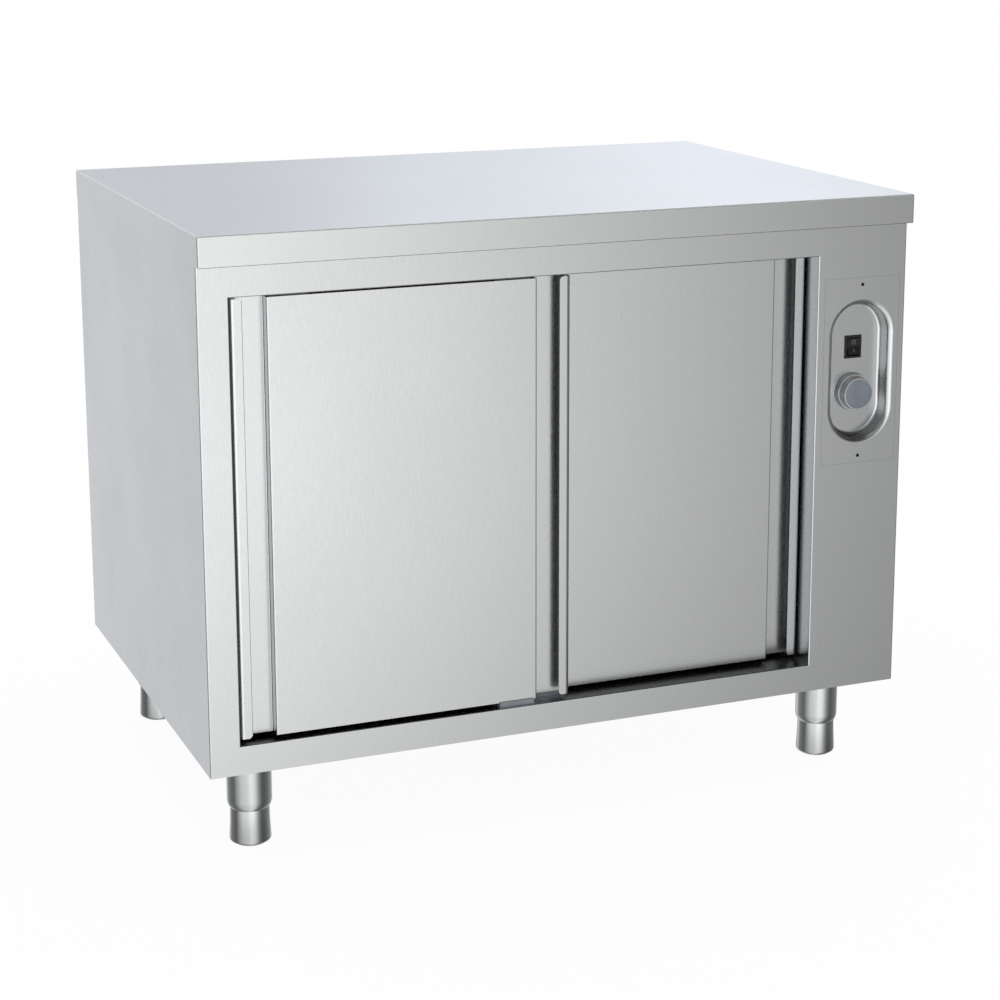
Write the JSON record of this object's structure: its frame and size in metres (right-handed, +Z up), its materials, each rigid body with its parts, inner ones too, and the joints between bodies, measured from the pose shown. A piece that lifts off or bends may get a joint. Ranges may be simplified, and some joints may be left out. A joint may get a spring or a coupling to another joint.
{
  "type": "plate warmer cabinet",
  "caption": "Free-standing heated cupboard for warming plates: flat worktop, two overlapping sliding doors, control column with rocker switch and thermostat knob, adjustable legs.",
  "frame": {"origin": "on the floor under the middle of the worktop", "axes": "+X to the right as a person faces the doors, +Y to the back, +Z up"},
  "size_m": [1, 0.7, 0.826],
  "materials": {
    "stainless": "satin, fine grain",
    "liner_steel": "satin",
    "leg_steel": "brushed round tube",
    "zinc_steel": "zinc plated",
    "board": "chipboard",
    "mineral_wool": "matt fibrous slab",
    "track_aluminium": "mill finish extrusion",
    "rubber_black": "matt",
    "nylon_grey": "moulded nylon",
    "nylon_white": "moulded nylon",
    "plastic_black": "moulded, slight gloss",
    "plastic_cream": "moulded",
    "screw_black": "blackened",
    "knob_metal": "satin, flat painted face",
    "probe_copper": "bare copper",
    "fan_aluminium": "cast, dark",
    "fan_plastic": "moulded",
    "element_steel": "heat darkened sheath"
  },
  "bodies": {
    "cabinet": {"air_duct": "liner_steel", "back_panel": "stainless", "base_panel": "stainless", "cable_gland": "plastic_black", "control_panel": "stainless", "cupboard_floor": "liner_steel", "door_guide": "nylon_grey", "door_track": "track_aluminium", "fan_frame": "fan_aluminium", "front_frame": "stainless", "gland_nut": "plastic_black", "heating_element": "element_steel", "insulation_back": "mineral_wool", "insulation_base": "mineral_wool", "insulation_left": "mineral_wool", "insulation_top": "mineral_wool", "leg_sleeve_front_left": "leg_steel", "leg_sleeve_front_right": "leg_steel", "leg_sleeve_rear_left": "leg_steel", "leg_sleeve_rear_right": "leg_steel", "liner_back": "liner_steel", "liner_ceiling": "liner_steel", "liner_left": "liner_steel", "panel_brackets": "stainless", "panel_screws": "screw_black", "partition": "liner_steel", "shelf": "liner_steel", "shelf_supports": "liner_steel", "side_panel_left": "stainless", "side_panel_right": "stainless", "switch_housing": "plastic_black", "terminal_block": "plastic_cream", "thermostat_body": "plastic_cream", "thermostat_probe": "probe_copper", "track_stops": "rubber_black", "worktop": "stainless", "worktop_board": "board", "worktop_stiffeners": "zinc_steel"},
    "left_door": {"left_door_skin": "stainless", "left_door_back": "stainless", "left_door_core": "mineral_wool", "left_door_hangers": "zinc_steel", "left_door_axles": "zinc_steel"},
    "left_door_left_wheels": {"left_door_wheels_left": "nylon_white"},
    "left_door_right_wheels": {"left_door_wheels_right": "nylon_white"},
    "right_door": {"right_door_skin": "stainless", "right_door_back": "stainless", "right_door_core": "mineral_wool", "right_door_hangers": "zinc_steel", "right_door_axles": "zinc_steel"},
    "right_door_left_wheels": {"right_door_wheels_left": "nylon_white"},
    "right_door_right_wheels": {"right_door_wheels_right": "nylon_white"},
    "knob": {"thermostat_knob": "knob_metal", "thermostat_shaft": "zinc_steel"},
    "rocker": {"switch_rocker": "plastic_black"},
    "fan": {"fan_wheel": "fan_plastic"},
    "foot_front_left": {"foot_front_left": "leg_steel"},
    "foot_front_right": {"foot_front_right": "leg_steel"},
    "foot_rear_left": {"foot_rear_left": "leg_steel"},
    "foot_rear_right": {"foot_rear_right": "leg_steel"}
  },
  "joints": [
    {"name": "left_door_slide", "type": "slide", "parent": "cabinet", "child": "left_door", "axis": [1, 0, 0], "range_m": [0, 0.357]},
    {"name": "left_door_left_wheels_turn", "type": "hinge", "parent": "left_door", "child": "left_door_left_wheels", "pos_m": [-0.3784, -0.3185, 0.7604], "axis": [0, 1, 0], "range_deg": [0, 1710]},
    {"name": "left_door_right_wheels_turn", "type": "hinge", "parent": "left_door", "child": "left_door_right_wheels", "pos_m": [-0.0788, -0.3185, 0.7604], "axis": [0, 1, 0], "range_deg": [0, 1710]},
    {"name": "right_door_slide", "type": "slide", "parent": "cabinet", "child": "right_door", "axis": [1, 0, 0], "range_m": [-0.357, 0]},
    {"name": "right_door_left_wheels_turn", "type": "hinge", "parent": "right_door", "child": "right_door_left_wheels", "pos_m": [-0.0171, -0.2925, 0.7604], "axis": [0, 1, 0], "range_deg": [-1710, 0]},
    {"name": "right_door_right_wheels_turn", "type": "hinge", "parent": "right_door", "child": "right_door_right_wheels", "pos_m": [0.2825, -0.2925, 0.7604], "axis": [0, 1, 0], "range_deg": [-1710, 0]},
    {"name": "knob_turn", "type": "hinge", "parent": "cabinet", "child": "knob", "pos_m": [0.432, -0.3125, 0.5495], "axis": [0, 1, 0], "range_deg": [0, 270]},
    {"name": "rocker_tip", "type": "hinge", "parent": "cabinet", "child": "rocker", "pos_m": [0.432, -0.3075, 0.6126], "axis": [1, 0, 0], "range_deg": [0, 12]},
    {"name": "fan_spin", "type": "hinge", "parent": "cabinet", "child": "fan", "pos_m": [0.382, 0.0189, 0.48], "axis": [1, 0, 0], "continuous": true},
    {"name": "foot_front_left_adjust", "type": "slide", "parent": "cabinet", "child": "foot_front_left", "axis": [0, 0, 1], "range_m": [-0.035, 0.015]},
    {"name": "foot_front_right_adjust", "type": "slide", "parent": "cabinet", "child": "foot_front_right", "axis": [0, 0, 1], "range_m": [-0.035, 0.015]},
    {"name": "foot_rear_left_adjust", "type": "slide", "parent": "cabinet", "child": "foot_rear_left", "axis": [0, 0, 1], "range_m": [-0.035, 0.015]},
    {"name": "foot_rear_right_adjust", "type": "slide", "parent": "cabinet", "child": "foot_rear_right", "axis": [0, 0, 1], "range_m": [-0.035, 0.015]}
  ],
  "couplings": [
    {"joint": "left_door_left_wheels_turn", "follows": "left_door_slide", "rad_per_m": 83.333},
    {"joint": "left_door_right_wheels_turn", "follows": "left_door_slide", "rad_per_m": 83.333},
    {"joint": "right_door_left_wheels_turn", "follows": "right_door_slide", "rad_per_m": 83.333},
    {"joint": "right_door_right_wheels_turn", "follows": "right_door_slide", "rad_per_m": 83.333}
  ]
}
